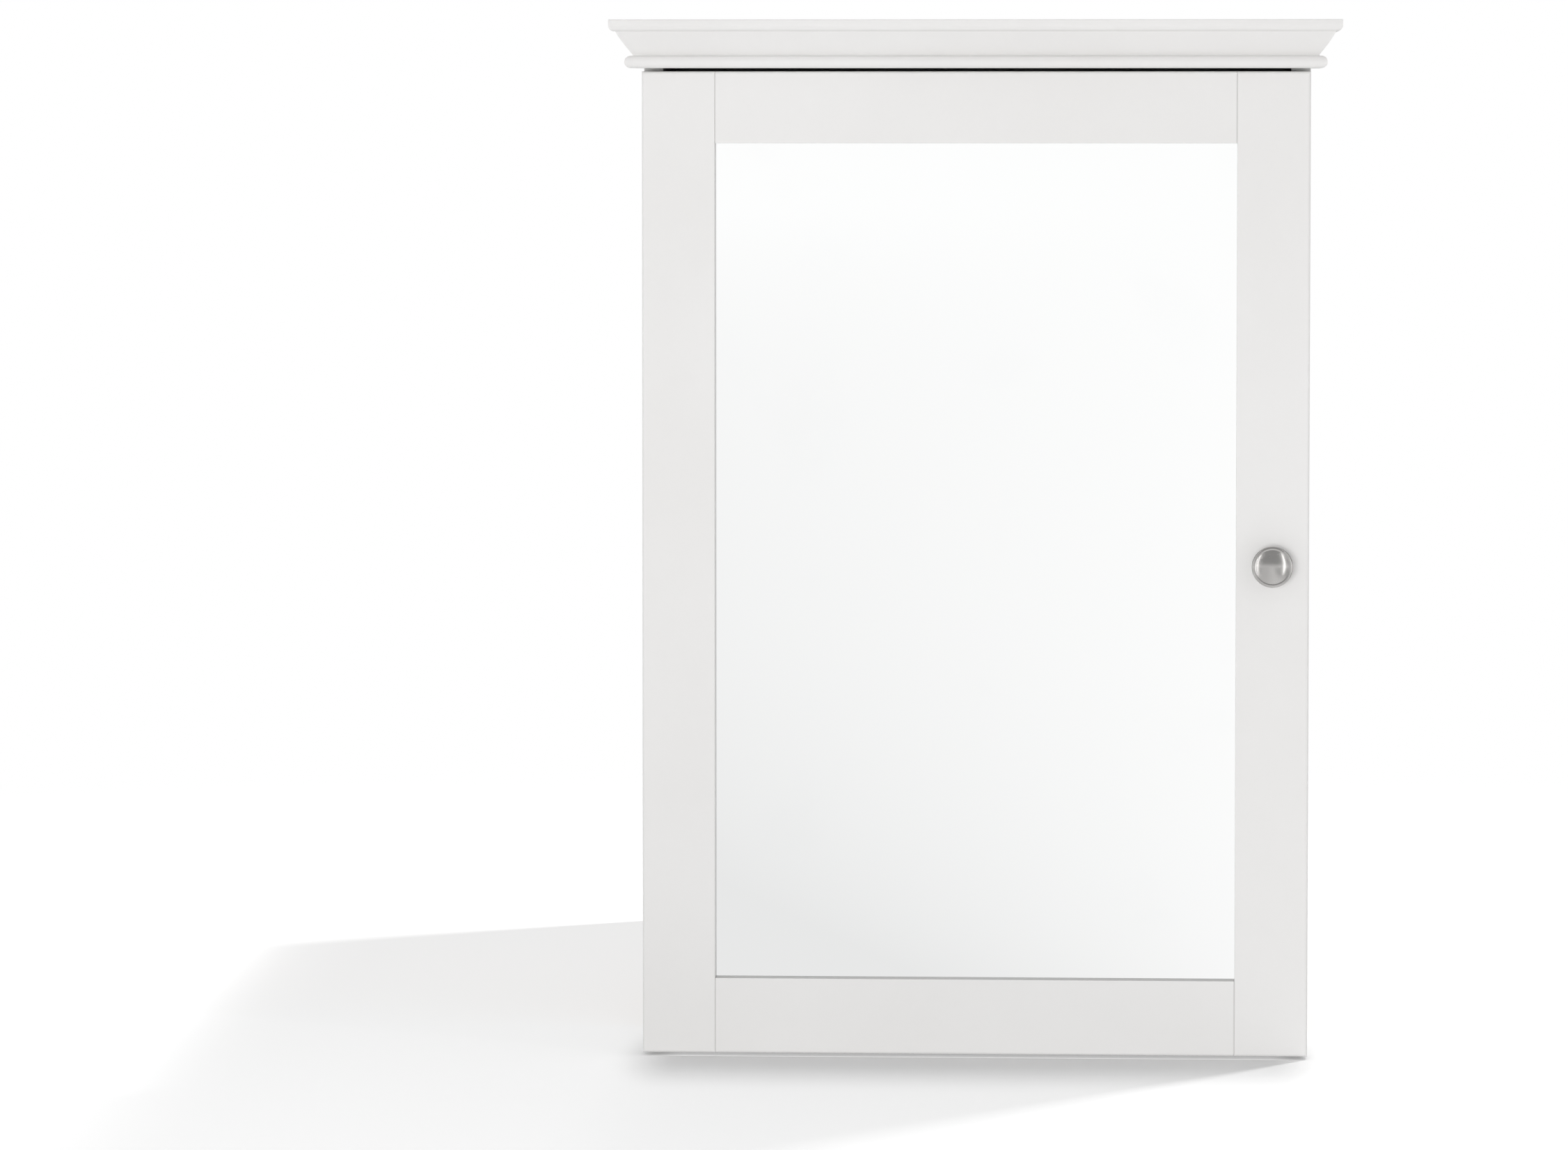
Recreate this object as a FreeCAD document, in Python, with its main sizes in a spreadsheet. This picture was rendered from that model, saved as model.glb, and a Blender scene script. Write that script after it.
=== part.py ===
import FreeCAD, Part
import math
import os
import re
import Sketcher

# White wall cabinet with a framed mirror door, a crown cornice and concealed cup hinges.
# Millimetres. +X is the knob side, -Y faces the room, +Z is up.
# The origin is the centre of the four wall screws, on the wall plane.

# Driving dimensions

SIZES = {
    # Carcass boards
    "carcass_width": 512,
    "carcass_depth": 150,
    "panel_thick": 15,
    "panel_ease": 0.8,
    "back_thick": 3,
    "back_groove_depth": 5,
    "groove_clear": 0.2,
    "rail_thick": 15,
    "rail_height": 60,
    "wall_hole_dia": 5.5,
    "wall_hole_inset": 52.8,
    # Cam and dowel joints
    "joint_front_inset": 30,
    "joint_rear_inset": 22,
    "cam_inset": 24,
    "cam_dia": 15,
    "cam_depth": 12.5,
    "cam_slot_length": 8,
    "cam_slot_width": 1.6,
    "cam_slot_depth": 2,
    "bolt_bore_dia": 7.5,
    "bolt_head_dia": 6.6,
    "bolt_head_length": 3,
    "bolt_neck_dia": 4,
    "bolt_neck_length": 5,
    "bolt_thread_dia": 5,
    "bolt_thread_length": 10.5,
    "dowel_dia": 8,
    "dowel_seat": 10,
    "dowel_reach": 20,
    "dowel_spread": 18,
    "dowel_chamfer": 1,
    "fit_clear": 0.1,
    # Shelves and their pins
    "shelf_thick": 15,
    "shelf_end_gap": 2.5,
    "shelf_back_gap": 1,
    "shelf_front_gap": 11,
    "pin_hole_dia": 5,
    "pin_hole_depth": 10,
    "pin_pitch": 32,
    "pin_rows": 5,
    "pin_front_inset": 37,
    "pin_rear_inset": 27,
    "shelf_row": 2,
    "pin_plate": 2,
    "pin_width": 9,
    "pin_reach": 11,
    "pin_height": 14,
    # Crown cornice
    "crown_height": 28,
    "bead_height": 9.4,
    "bead_root_out": 7.8,
    "splay_foot_out": 6.4,
    "quirk_height": 1,
    "splay_head_out": 19,
    "splay_radius": 115,
    "cap_thick": 9,
    "cap_overhang": 24,
    "cap_round": 4.5,
    "cap_ease": 0.8,
    "batten_width": 20,
    # Door frame and mirror
    "door_gap": 3,
    "door_thick": 20,
    "door_height": 756,
    "door_top_gap": 2.5,
    "door_bottom_clear": 2.5,
    "stile_width": 56,
    "top_rail_height": 55,
    "bottom_rail_height": 58,
    "edge_round": 2,
    "inner_ease": 0.4,
    "rebate_width": 8,
    "rebate_depth": 11,
    "tenon_length": 12,
    "tenon_thick": 6,
    "tenon_back": 7,
    "tenon_shoulder": 10,
    "mirror_thick": 4,
    "mirror_clear": 1,
    "backing_thick": 3,
    "backing_bead_width": 10,
    "backing_bead_chamfer": 1.5,
    # Concealed hinges
    "hinge_end_inset": 100,
    "hinge_pin_inset": 8,
    "hinge_pin_depth": 8.5,
    "hinge_pin_dia": 2.5,
    "hinge_pin_length": 20,
    "pin_running_clear": 0.05,
    "pin_press_clear": 0.01,
    "cup_dia": 35,
    "cup_edge": 3,
    "cup_depth": 13,
    "cup_wall": 1,
    "cup_throat": 15,
    "flange_thick": 1,
    "flange_lip": 0.7,
    "wing_offset": 6,
    "wing_reach": 24,
    "wing_radius": 6,
    "knuckle_dia": 5.5,
    "knuckle_width": 10,
    "arm_thick": 2,
    "arm_reach": 13,
    "arm_bend": 2,
    "arm_channel_start": 8,
    "arm_channel_end": 62,
    "arm_width": 16,
    "arm_cheek_thick": 1.5,
    "arm_clear": 0.3,
    "plate_front": 12,
    "plate_end": 60,
    "plate_base": 2,
    "plate_inset": 37,
    "plate_screw_spread": 16,
    "plate_wing_radius": 6,
    "arm_screw_dia": 4.8,
    "arm_screw_head_dia": 8.5,
    "arm_screw_head_thick": 2.4,
    "arm_adjust_inset": 20,
    "arm_fix_inset": 52,
    # Wood screws
    "screw_dia": 3.4,
    "screw_length": 12,
    "screw_head_dia": 6.4,
    "screw_head_thick": 1.8,
    "screw_head_crown": 0.6,
    "recess_length": 3.6,
    "recess_width": 0.9,
    "recess_depth": 1.1,
    # Magnetic catch and bumpers
    "catch_shelf_gap": 10,
    "catch_height": 14,
    "catch_depth": 16,
    "catch_length": 30,
    "catch_round": 1.5,
    "catch_flange_length": 52,
    "catch_flange_thick": 2.5,
    "catch_screw_spread": 20.5,
    "pole_thick": 1.5,
    "pole_width": 22,
    "pole_depth": 12,
    "pole_proud": 2,
    "magnet_thick": 3,
    "magnet_recess": 1,
    "catch_air": 0.3,
    "strike_thick": 1.2,
    "strike_width": 11,
    "strike_length": 40,
    "strike_round": 2,
    "strike_screw_spread": 16,
    "bumper_dia": 8,
    "bumper_round": 1,
    "bumper_end_inset": 22,
    # Knob
    "knob_dia": 31.75,
    "knob_foot_dia": 15,
    "knob_foot_thick": 2,
    "knob_neck_start": 4,
    "knob_neck_dia": 11,
    "knob_neck_end": 8,
    "knob_rim_back": 14,
    "knob_rim_side": 1,
    "knob_rim_round": 2,
    "knob_groove_width": 0.8,
    "knob_groove_depth": 0.4,
    "knob_dome_rise": 4.2,
    "knob_flare_radius": 12,
    "knob_bore_depth": 12,
    "knob_screw_dia": 3.9,
    "knob_screw_play": 0.4,
    "knob_screw_head_dia": 8,
    "knob_screw_head_thick": 2.4,
}

# Formulas of the driving dimensions, by name

DERIVED = {
    "half_width": "carcass_width / 2",
    "inner_width": "carcass_width - 2 * panel_thick",
    "half_inner": "inner_width / 2",
    "top_depth": "carcass_depth + door_gap + door_thick",
    "side_height": "door_bottom_clear + door_height + door_top_gap",
    "floor_level": "-(side_height + panel_thick) / 2",
    "roof_level": "floor_level + side_height",
    "cap_level": "roof_level + crown_height",
    "back_face": "-(rail_thick + back_thick)",
    "wall_hole_x": "half_width - wall_hole_inset",
    "shelf_depth": "carcass_depth + back_face - shelf_back_gap - shelf_front_gap",
    "compartment_height": "(side_height - panel_thick - 2 * shelf_thick) / 3",
    "lower_shelf_level": "panel_thick + compartment_height",
    "upper_shelf_level": "lower_shelf_level + shelf_thick + compartment_height",
    "lower_pin_level": "lower_shelf_level - pin_plate / 2",
    "upper_pin_level": "upper_shelf_level - pin_plate / 2",
    "mitre_reach": "2 * splay_head_out",
    "front_joint": "-(carcass_depth - joint_front_inset)",
    "rear_joint": "back_face - joint_rear_inset",
    "middle_joint": "(front_joint + rear_joint) / 2",
    "lower_rail_mid": "panel_thick + rail_height / 2",
    "upper_rail_mid": "side_height - rail_height / 2",
    "pin_front": "-(carcass_depth - pin_front_inset)",
    "pin_rear": "back_face - pin_rear_inset",
    "door_back": "-(carcass_depth + door_gap)",
    "door_foot": "floor_level + door_bottom_clear",
    "mirror_width": "carcass_width - 2 * stile_width",
    "mirror_height": "door_height - top_rail_height - bottom_rail_height",
    "glass_width": "mirror_width + 2 * (rebate_width - mirror_clear)",
    "glass_height": "mirror_height + 2 * (rebate_width - mirror_clear)",
    "glass_foot": "door_foot + bottom_rail_height - rebate_width + mirror_clear",
    "backing_bead_thick": "rebate_depth - mirror_thick - backing_thick",
    "lower_hinge": "hinge_end_inset",
    "upper_hinge": "door_height - hinge_end_inset",
    "pin_axis_x": "-half_width + hinge_pin_inset",
    "pin_axis_y": "door_back - hinge_pin_depth",
    "carcass_edge": "hinge_pin_depth + door_gap",
    "side_face": "panel_thick - hinge_pin_inset",
    "cup_centre": "cup_edge + cup_dia / 2 - hinge_pin_inset",
    "cup_inner_radius": "cup_dia / 2 - cup_wall",
    "cup_half_throat": "sqrt(cup_inner_radius ^ 2 - (cup_throat / 2) ^ 2)",
    "web_inside": "arm_reach - arm_thick / 2",
    "web_outside": "arm_reach + arm_thick / 2",
    "plate_top": "side_face + plate_base",
    "plate_half_boss": "arm_width / 2 - arm_cheek_thick - arm_clear",
    "plate_screw_y": "-(carcass_depth - plate_inset)",
    "knob_x": "half_width - stile_width / 2",
    "knob_height": "door_height / 2",
    "catch_foot": "lower_shelf_level + shelf_thick + catch_shelf_gap",
    "catch_height_up": "catch_foot + catch_flange_length / 2 - door_bottom_clear",
    "pole_tip": "door_back + strike_thick + catch_air",
    "catch_front": "pole_tip + pole_proud",
    "catch_middle": "half_inner - catch_height / 2",
    "catch_screw_y": "catch_front + catch_depth / 2",
    "screw_bore": "screw_dia + 2 * fit_clear",
    "knob_rim_front": "knob_rim_back + knob_rim_side + knob_rim_round",
    "knob_groove_floor": "knob_rim_front - knob_groove_depth",
    "knob_rim_top": "knob_dia / 2 - knob_rim_round",
    "knob_dome_edge": "knob_rim_top - knob_groove_width",
    "knob_dome_radius": "(knob_dome_edge ^ 2 + knob_dome_rise ^ 2) / (2 * knob_dome_rise)",
}

doc = FreeCAD.newDocument("mirror_cabinet")
sheet = doc.addObject("Spreadsheet::Sheet", "Sizes")
for row, (name, size) in enumerate(SIZES.items(), 1):
    sheet.set(f"A{row}", name)
    sheet.set(f"B{row}", str(size))
    sheet.setAlias(f"B{row}", name)
doc.recompute()

nodes = []
NORMALS = {"XY_Plane": "+z", "XZ_Plane": "-y", "YZ_Plane": "+x"}
SAME_SPOT = 1e-4


def formula(text):
    """Write a formula of named sizes as an expression on the sheet."""
    def swap(match):
        word = match.group(0)
        if word in DERIVED:
            return f"({formula(DERIVED[word])})"
        return f"Sizes.{word}" if word in SIZES else word
    return re.sub(r"[a-z_]+", swap, str(text))


def number(text):
    return float(sheet.evalExpression(formula(text)))


def bind(target, **properties):
    """Bind properties, written with __ for a dot, to formulas."""
    for name, text in properties.items():
        target.setExpression(name.replace("__", "."), formula(text))


def place(target, x="0", y="0", z="0"):
    bind(target, Placement__Base__x=x, Placement__Base__y=y, Placement__Base__z=z)


def new_body(label, is_node=True):
    body = doc.addObject("PartDesign::Body", label)
    body.Label = label
    if is_node:
        nodes.append(body)
    return body


def origin_feature(body, role):
    return next(item for item in body.Origin.OriginFeatures if item.Role == role)


def new_sketch(body, plane, level="0"):
    """An empty sketch on an origin plane, at a level along that plane's axis."""
    sketch = body.newObject("Sketcher::SketchObject", f"{body.Name}_sketch")
    sketch.AttachmentSupport = [(origin_feature(body, plane), "")]
    sketch.MapMode = "FlatFace"
    bind(sketch, AttachmentOffset__Base__z=f"-({level})" if NORMALS[plane][0] == "-" else level)
    return sketch


def pin_point(sketch, geometry, end, x, y):
    """Dimension one point of a sketch from its origin."""
    for kind, text, axis in (("DistanceX", x, -2), ("DistanceY", y, -1)):
        if text == "0":
            sketch.addConstraint(Sketcher.Constraint("PointOnObject", geometry, end, axis))
        else:
            index = sketch.addConstraint(Sketcher.Constraint(kind, -1, 1, geometry, end, number(text)))
            bind(sketch, **{f"Constraints[{index}]": text})


def arc_between(start, end, radius, turn):
    chord = end - start
    rise = math.sqrt(radius ** 2 - (chord.Length / 2) ** 2) / chord.Length
    side = FreeCAD.Vector(-chord.y, chord.x, 0) * rise
    centre = (start + end) * 0.5 + (side if turn == "left" else -side)
    first, last = (start, end) if turn == "left" else (end, start)
    angles = [math.atan2(point.y - centre.y, point.x - centre.x) for point in (first, last)]
    return Part.ArcOfCircle(Part.Circle(centre, FreeCAD.Vector(0, 0, 1), radius), *angles)


def outline(sketch, points):
    """A closed loop of (x, y) corners. (x, y, radius, turn) is reached along an arc."""
    corners = [FreeCAD.Vector(number(point[0]), number(point[1]), 0) for point in points]
    runs = []
    for index, point in enumerate(points):
        start, end = corners[index - 1], corners[index]
        if len(point) == 2:
            run = sketch.addGeometry(Part.LineSegment(start, end))
            runs.append((run, 1, 2))
            continue
        run = sketch.addGeometry(arc_between(start, end, number(point[2]), point[3]))
        radius = sketch.addConstraint(Sketcher.Constraint("Radius", run, number(point[2])))
        bind(sketch, **{f"Constraints[{radius}]": point[2]})
        runs.append((run, 1, 2) if point[3] == "left" else (run, 2, 1))
    for index, point in enumerate(points):
        before, after = runs[index], runs[(index + 1) % len(runs)]
        sketch.addConstraint(Sketcher.Constraint("Coincident", before[0], before[2], after[0], after[1]))
        pin_point(sketch, before[0], before[2], point[0], point[1])
    return sketch


def rectangle(sketch, left, bottom, right, top):
    return outline(sketch, [(left, bottom), (right, bottom), (right, top), (left, top)])


def slot(sketch, x, y, reach, radius):
    """An upright bar with round ends, whose end centres lie reach above and below (x, y)."""
    left, right = f"{x} - {radius}", f"{x} + {radius}"
    return outline(sketch, [
        (left, f"{y} - {reach}"),
        (x, f"{y} - {reach} - {radius}", radius, "left"),
        (right, f"{y} - {reach}", radius, "left"),
        (right, f"{y} + {reach}"),
        (x, f"{y} + {reach} + {radius}", radius, "left"),
        (left, f"{y} + {reach}", radius, "left"),
    ])


def circles(sketch, diameter, centres):
    for x, y in centres:
        middle = FreeCAD.Vector(number(x), number(y), 0)
        circle = sketch.addGeometry(Part.Circle(middle, FreeCAD.Vector(0, 0, 1), number(diameter) / 2))
        size = sketch.addConstraint(Sketcher.Constraint("Diameter", circle, number(diameter)))
        bind(sketch, **{f"Constraints[{size}]": diameter})
        pin_point(sketch, circle, 3, x, y)
    return sketch


def plane_of(sketch):
    return sketch.AttachmentSupport[0][0].Role


def pad(body, sketch, length, toward=None):
    """Pad along +x, -y and so on, or evenly to both sides if no direction is given."""
    feature = body.newObject("PartDesign::Pad", f"{body.Name}_pad")
    feature.Profile = sketch
    if toward is None:
        feature.Midplane = True
    else:
        feature.Reversed = toward != NORMALS[plane_of(sketch)]
    bind(feature, Length=length)
    doc.recompute()
    return feature


def cut(body, sketch, depth, toward):
    """Pocket along +x, -y and so on, and make sure that it takes material away."""
    doc.recompute()
    before = body.Shape.Volume
    feature = body.newObject("PartDesign::Pocket", f"{body.Name}_cut")
    feature.Profile = sketch
    feature.Reversed = toward == NORMALS[plane_of(sketch)]
    bind(feature, Length=depth)
    doc.recompute()
    if body.Shape.Volume >= before:
        raise RuntimeError(f"a cut in {body.Label} removed nothing")
    return feature


def drill(body, plane, level, toward, diameter, depth, centres):
    return cut(body, circles(new_sketch(body, plane, level), diameter, centres), depth, toward)


def revolve(body, plane, points, axis="V_Axis"):
    sketch = outline(new_sketch(body, plane), points)
    feature = body.newObject("PartDesign::Revolution", f"{body.Name}_turned")
    feature.Profile = sketch
    feature.ReferenceAxis = (sketch, [axis])
    feature.Angle = 360
    doc.recompute()
    return feature


def edges_at(shape, spots):
    """Names of the edges whose middle lies at one of the spots, given by some of x, y and z."""
    found = []
    for spot in spots:
        wanted = {axis: number(text) for axis, text in spot.items()}
        names = []
        for index, edge in enumerate(shape.Edges, 1):
            middle = edge.CenterOfMass
            if all(abs(getattr(middle, axis) - value) < SAME_SPOT for axis, value in wanted.items()):
                names.append(f"Edge{index}")
        if not names:
            raise RuntimeError(f"no edge at {spot}")
        found += names
    return sorted(set(found))


def dress(body, kind, size, spots):
    doc.recompute()
    base = body.Tip
    feature = body.newObject(f"PartDesign::{kind}", f"{body.Name}_{kind.lower()}")
    feature.Base = (base, edges_at(base.Shape, spots))
    bind(feature, **{"Radius" if kind == "Fillet" else "Size": size})
    doc.recompute()
    return feature


def round_edges(body, radius, *spots):
    return dress(body, "Fillet", radius, spots)


def chamfer_edges(body, size, *spots):
    return dress(body, "Chamfer", size, spots)


def plate(label, plane, left, bottom, right, top, thick, toward):
    body = new_body(label)
    pad(body, rectangle(new_sketch(body, plane), left, bottom, right, top), thick, toward)
    return body


def cross_recess(body, level, length, width, depth):
    """Two crossed driver slots, cut down from the top of a head."""
    for across, along in ((length, width), (width, length)):
        driver = new_sketch(body, "XY_Plane", level)
        rectangle(driver, f"-{across} / 2", f"-{along} / 2", f"{across} / 2", f"{along} / 2")
        cut(body, driver, depth, "-z")


def turned(x_axis, z_axis):
    """The rotation that lays a local frame's x and z along two global directions."""
    x_axis, z_axis = FreeCAD.Vector(*x_axis), FreeCAD.Vector(*z_axis)
    return FreeCAD.Rotation(x_axis, z_axis.cross(x_axis), z_axis, "ZXY")


RIGHT = (1, 0, 0)
LEFT = (-1, 0, 0)
BACK = (0, 1, 0)
UP = (0, 0, 1)
DOWN = (0, 0, -1)


def group(label, master, places):
    """One node of repeated solids. Each place is x, y, z, then where local x and z point."""
    copies = []
    for x, y, z, x_axis, z_axis in places:
        copy = doc.addObject("App::Link", f"{label}_copy")
        copy.LinkedObject = master
        copy.LinkTransform = False
        copy.Placement = FreeCAD.Placement(FreeCAD.Vector(), turned(x_axis, z_axis))
        place(copy, x, y, z)
        copies.append(copy)
    compound = doc.addObject("Part::Compound", label)
    compound.Label = label
    compound.Links = copies
    nodes.append(compound)
    return compound


# Carcass boards

def side_panel(label, inner, into, x):
    """A side board. inner is the level of its inner face, into the way that bores run from there."""
    body = plate(label, "YZ_Plane", "-carcass_depth", "0", "0", "side_height", "panel_thick", "+x")
    round_edges(body, "panel_ease", {"x": "0", "y": "-carcass_depth"},
                {"x": "panel_thick", "y": "-carcass_depth"})
    groove = new_sketch(body, "YZ_Plane", inner)
    rectangle(groove, "back_face - groove_clear", "0", "-rail_thick", "side_height")
    cut(body, groove, "back_groove_depth", into)

    rows = [(column, f"{level} - shelf_row * pin_pitch") for column in ("pin_front", "pin_rear")
            for level in ("lower_pin_level", "upper_pin_level")]
    lowest = drill(body, "YZ_Plane", inner, into, "pin_hole_dia", "pin_hole_depth", rows)
    pattern = body.newObject("PartDesign::LinearPattern", f"{label}_pin_rows")
    pattern.Originals = [lowest]
    pattern.Direction = (origin_feature(body, "Z_Axis"), [""])
    bind(pattern, Length="pin_pitch * (pin_rows - 1)", Occurrences="pin_rows")
    body.Tip = pattern

    cams = [(y, "side_height - cam_inset") for y in ("front_joint", "rear_joint")]
    drill(body, "YZ_Plane", inner, into, "cam_dia", "cam_depth", cams)
    ends = [("panel_thick / 2", y) for y in ("front_joint", "rear_joint")]
    drill(body, "XY_Plane", "side_height", "-z", "bolt_bore_dia", "cam_inset", ends)
    drill(body, "XY_Plane", "side_height", "-z", "dowel_dia", "dowel_reach",
          [("panel_thick / 2", "middle_joint")])
    threads = [(y, "panel_thick / 2") for y in ("front_joint", "rear_joint")]
    drill(body, "YZ_Plane", inner, into, "bolt_thread_dia", "bolt_thread_length", threads)
    dowels = [("middle_joint", "panel_thick / 2")]
    dowels += [("-rail_thick / 2", f"{rail} {sign} dowel_spread")
               for rail in ("lower_rail_mid", "upper_rail_mid") for sign in "+-"]
    drill(body, "YZ_Plane", inner, into, "dowel_dia", "dowel_seat", dowels)
    place(body, x, "0", "floor_level")
    return body


def left_side_panel():
    body = side_panel("left_side_panel", "panel_thick", "-x", "-half_width")
    centres = [("plate_screw_y", f"door_bottom_clear + {hinge} {sign} plate_screw_spread")
               for hinge in ("lower_hinge", "upper_hinge") for sign in "+-"]
    drill(body, "YZ_Plane", "panel_thick", "-x", "screw_bore", "screw_length", centres)


def right_side_panel():
    body = side_panel("right_side_panel", "0", "+x", "half_inner")
    centres = [("catch_screw_y", f"door_bottom_clear + catch_height_up {sign} catch_screw_spread")
               for sign in "+-"]
    drill(body, "YZ_Plane", "0", "+x", "screw_bore", "screw_length", centres)


def top_panel():
    body = plate("top_panel", "XY_Plane", "-half_width", "-top_depth", "half_width", "0",
                 "panel_thick", "+z")
    groove = new_sketch(body, "XY_Plane")
    rectangle(groove, "-half_inner - back_groove_depth", "back_face - groove_clear",
              "half_inner + back_groove_depth", "-rail_thick")
    cut(body, groove, "back_groove_depth", "+z")
    boards = ("-half_width + panel_thick / 2", "half_width - panel_thick / 2")
    threads = [(x, y) for x in boards for y in ("front_joint", "rear_joint")]
    drill(body, "XY_Plane", "0", "+z", "bolt_thread_dia", "bolt_thread_length", threads)
    drill(body, "XY_Plane", "0", "+z", "dowel_dia", "dowel_seat", [(x, "middle_joint") for x in boards])
    place(body, z="roof_level")


def bottom_panel():
    body = plate("bottom_panel", "XY_Plane", "-half_inner", "-carcass_depth", "half_inner", "0",
                 "panel_thick", "+z")
    round_edges(body, "panel_ease", {"y": "-carcass_depth", "z": "0"},
                {"y": "-carcass_depth", "z": "panel_thick"})
    groove = new_sketch(body, "XY_Plane", "panel_thick")
    rectangle(groove, "-half_inner", "back_face - groove_clear", "half_inner", "-rail_thick")
    cut(body, groove, "back_groove_depth", "-z")
    cams = [(x, y) for x in ("-half_inner + cam_inset", "half_inner - cam_inset")
            for y in ("front_joint", "rear_joint")]
    drill(body, "XY_Plane", "0", "+z", "cam_dia", "cam_depth", cams)
    for end, into in (("-half_inner", "+x"), ("half_inner", "-x")):
        bores = [(y, "panel_thick / 2") for y in ("front_joint", "rear_joint")]
        drill(body, "YZ_Plane", end, into, "bolt_bore_dia", "cam_inset", bores)
        drill(body, "YZ_Plane", end, into, "dowel_dia", "dowel_reach", [("middle_joint", "panel_thick / 2")])
    place(body, z="floor_level")


def back_panel():
    body = new_body("back_panel")
    reach = "half_inner + back_groove_depth - groove_clear"
    sketch = new_sketch(body, "XZ_Plane")
    rectangle(sketch, f"-({reach})", "panel_thick - back_groove_depth + groove_clear",
              reach, "side_height + back_groove_depth - groove_clear")
    pad(body, sketch, "back_thick", "-y")
    holes = [(f"{sign}wall_hole_x", rail) for sign in ("", "-")
             for rail in ("lower_rail_mid", "upper_rail_mid")]
    drill(body, "XZ_Plane", "0", "-y", "wall_hole_dia", "back_thick", holes)
    place(body, y="-rail_thick", z="floor_level")


def hanging_rail(label, middle):
    body = plate(label, "XZ_Plane", "-half_inner", "-rail_height / 2", "half_inner", "rail_height / 2",
                 "rail_thick", "-y")
    drill(body, "XZ_Plane", "0", "-y", "wall_hole_dia", "rail_thick",
          [("wall_hole_x", "0"), ("-wall_hole_x", "0")])
    for end, into in (("-half_inner", "+x"), ("half_inner", "-x")):
        bores = [("-rail_thick / 2", f"{sign}dowel_spread") for sign in ("", "-")]
        drill(body, "YZ_Plane", end, into, "dowel_dia", "dowel_reach", bores)
    place(body, z=f"floor_level + {middle}")


# Cam locks, cam bolts and dowels that join the boards

def joint_hardware():
    lock = new_body("cam_lock", is_node=False)
    radius, tall = "cam_dia / 2 - fit_clear", "cam_depth - fit_clear"
    revolve(lock, "XZ_Plane", [("0", "0"), (radius, "0"), (radius, f"-({tall})"), ("0", f"-({tall})")])
    cross_recess(lock, "0", "cam_slot_length", "cam_slot_width", "cam_slot_depth")
    drill(lock, "YZ_Plane", "-bolt_head_length", "+x", "bolt_bore_dia", "cam_dia",
          [("0", "-panel_thick / 2")])

    bolt = new_body("cam_bolt", is_node=False)
    steps = [("0", "bolt_head_dia"), ("bolt_head_length", "bolt_head_dia"),
             ("bolt_head_length", "bolt_neck_dia"), ("bolt_head_length + bolt_neck_length", "bolt_neck_dia"),
             ("bolt_head_length + bolt_neck_length", "bolt_head_dia"), ("cam_inset", "bolt_head_dia"),
             ("cam_inset", "bolt_thread_dia - 2 * fit_clear"),
             ("cam_inset + bolt_thread_length - fit_clear", "bolt_thread_dia - 2 * fit_clear")]
    points = [("0", "0")] + [(x, f"({size}) / 2") for x, size in steps] + [(steps[-1][0], "0")]
    revolve(bolt, "XZ_Plane", points, "H_Axis")

    lock_places = []
    bolt_places = []
    for y in ("front_joint", "rear_joint"):
        for side, inward, outward in (("-", RIGHT, LEFT), ("", LEFT, RIGHT)):
            height = "roof_level - cam_inset"
            lock_places.append((f"{side}half_inner", y, height, UP, inward))
            bolt_places.append((f"{side}(half_inner + panel_thick / 2)", y, height, UP, inward))
            x = f"{side}(half_inner - cam_inset)"
            lock_places.append((x, y, "floor_level", outward, DOWN))
            bolt_places.append((x, y, "floor_level + panel_thick / 2", outward, DOWN))
    group("cam_locks", lock, lock_places)
    group("cam_bolts", bolt, bolt_places)

    dowel = new_body("dowel", is_node=False)
    low, high, radius = "-(dowel_seat - fit_clear)", "dowel_reach - fit_clear", "dowel_dia / 2 - fit_clear"
    revolve(dowel, "XZ_Plane", [
        (low, "0"), (low, f"{radius} - dowel_chamfer"), (f"{low} + dowel_chamfer", radius),
        (f"{high} - dowel_chamfer", radius), (high, f"{radius} - dowel_chamfer"), (high, "0"),
    ], "H_Axis")
    places = []
    for face, into, board in (("-half_inner", RIGHT, "-half_width + panel_thick / 2"),
                              ("half_inner", LEFT, "half_width - panel_thick / 2")):
        places.append((board, "middle_joint", "roof_level", DOWN, BACK))
        places.append((face, "middle_joint", "floor_level + panel_thick / 2", into, UP))
        for rail in ("lower_rail_mid", "upper_rail_mid"):
            for sign in "+-":
                height = f"floor_level + {rail} {sign} dowel_spread"
                places.append((face, "-rail_thick / 2", height, into, UP))
    group("assembly_dowels", dowel, places)


# Shelves on pins

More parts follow.
